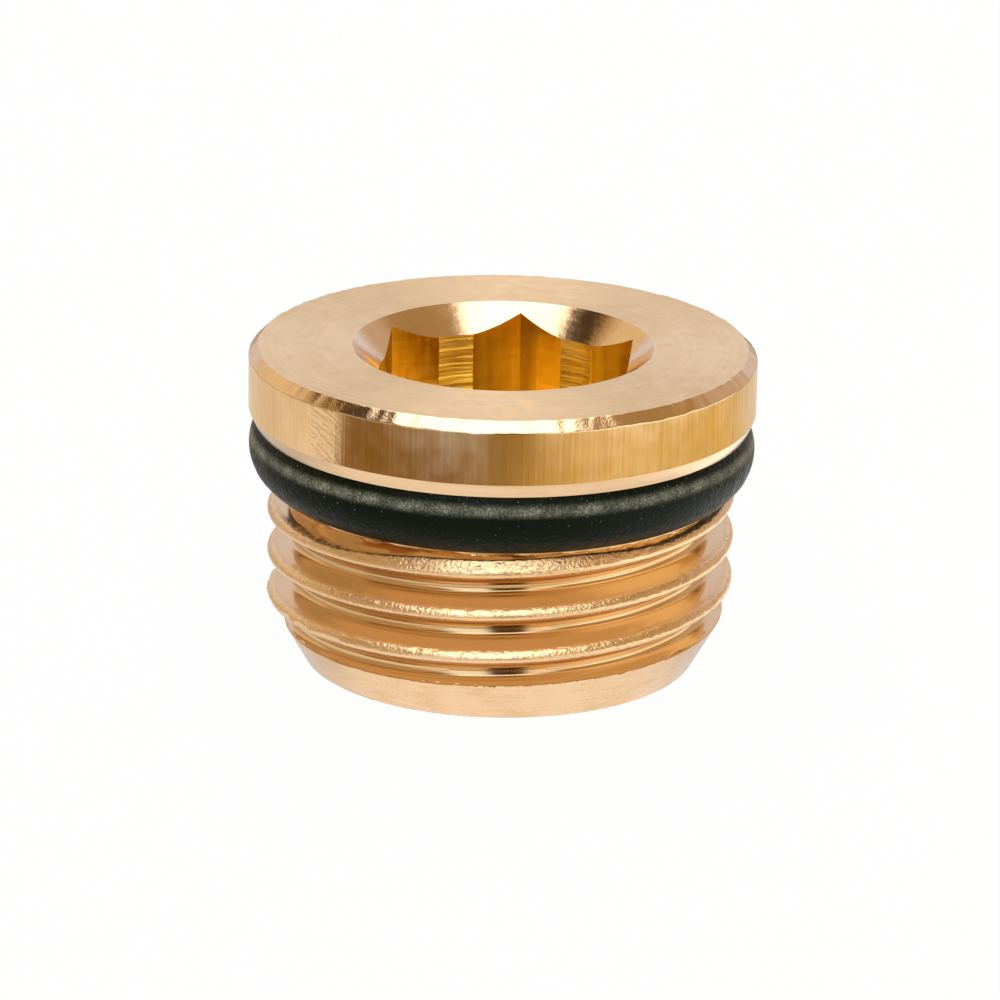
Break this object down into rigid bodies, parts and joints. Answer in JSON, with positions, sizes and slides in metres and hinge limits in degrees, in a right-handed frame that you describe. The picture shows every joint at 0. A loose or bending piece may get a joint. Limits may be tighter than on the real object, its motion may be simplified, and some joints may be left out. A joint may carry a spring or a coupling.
{
  "type": "threaded plug",
  "caption": "Round-headed brass screw plug with a countersunk hexagon socket, a rubber O-ring chambered under the head and an external pipe thread; closes a threaded port.",
  "frame": {"origin": "centre of the flat end of the thread, on which the plug stands", "axes": "+Z along the plug's axis towards the head and its socket; -Y is the side turned to the camera in the picture"},
  "size_m": [0.0106, 0.0106, 0.0066],
  "materials": {
    "turned_brass": "bright turned brass with fine tool marks",
    "seal_rubber": "moulded black rubber, slightly shiny and dusty"
  },
  "bodies": {
    "root": {"plug_body": "turned_brass", "o_ring": "seal_rubber"}
  },
  "joints": []
}
